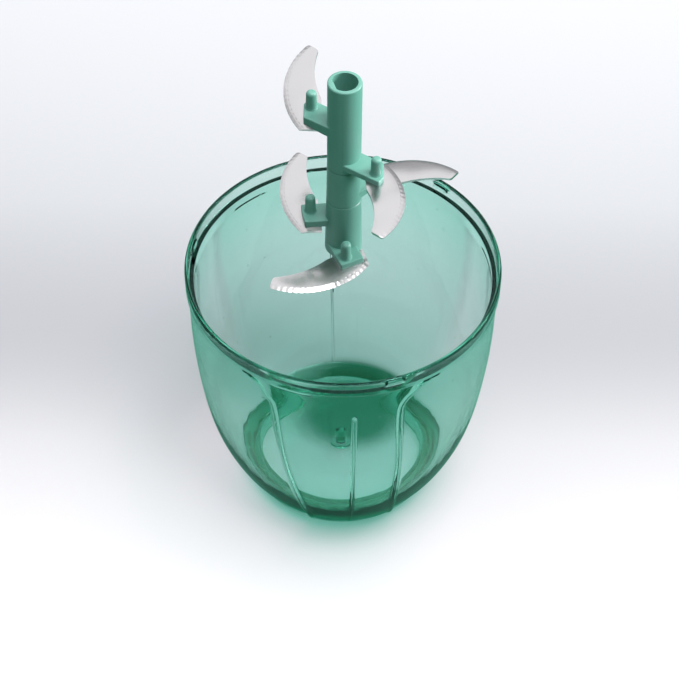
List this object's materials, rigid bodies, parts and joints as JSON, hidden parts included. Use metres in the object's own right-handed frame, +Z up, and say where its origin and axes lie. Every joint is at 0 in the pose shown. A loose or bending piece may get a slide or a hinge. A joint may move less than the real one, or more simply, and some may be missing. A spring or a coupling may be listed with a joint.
{
  "type": "hand chopper bowl with blade unit",
  "caption": "Open see-through tapered bowl with arch-topped side panels and a lift-out spindle that carries curved blades at staggered heights.",
  "frame": {"origin": "centre of the bowl's foot, on the surface it stands on", "axes": "+Z up along the spindle, -Y towards the viewer of the picture, +X to the viewer's right"},
  "size_m": [0.13, 0.13, 0.2238],
  "materials": {
    "clear_green_plastic": "glossy, transparent, tinted through",
    "green_plastic": "satin",
    "blade_steel": "fine brushed, ground bevel"
  },
  "bodies": {
    "bowl": {"bowl": "clear_green_plastic"},
    "pivot": {"thrust_washer": "clear_green_plastic"},
    "blade_unit": {"lower_hub": "green_plastic", "middle_collar": "green_plastic", "upper_sleeve": "green_plastic", "low_blade": "blade_steel", "left_blade": "blade_steel", "back_blade": "blade_steel", "right_blade": "blade_steel", "top_blade": "blade_steel", "low_pin": "green_plastic", "left_pin": "green_plastic", "back_pin": "green_plastic", "right_pin": "green_plastic", "top_pin": "green_plastic"}
  },
  "joints": [
    {"name": "spin", "type": "hinge", "parent": "bowl", "child": "pivot", "pos_m": [0, 0, 0.0123], "axis": [0, 0, 1], "continuous": true},
    {"name": "lift", "type": "slide", "parent": "pivot", "child": "blade_unit", "axis": [0, 0, 1], "range_m": [-0.1232, 0]}
  ]
}
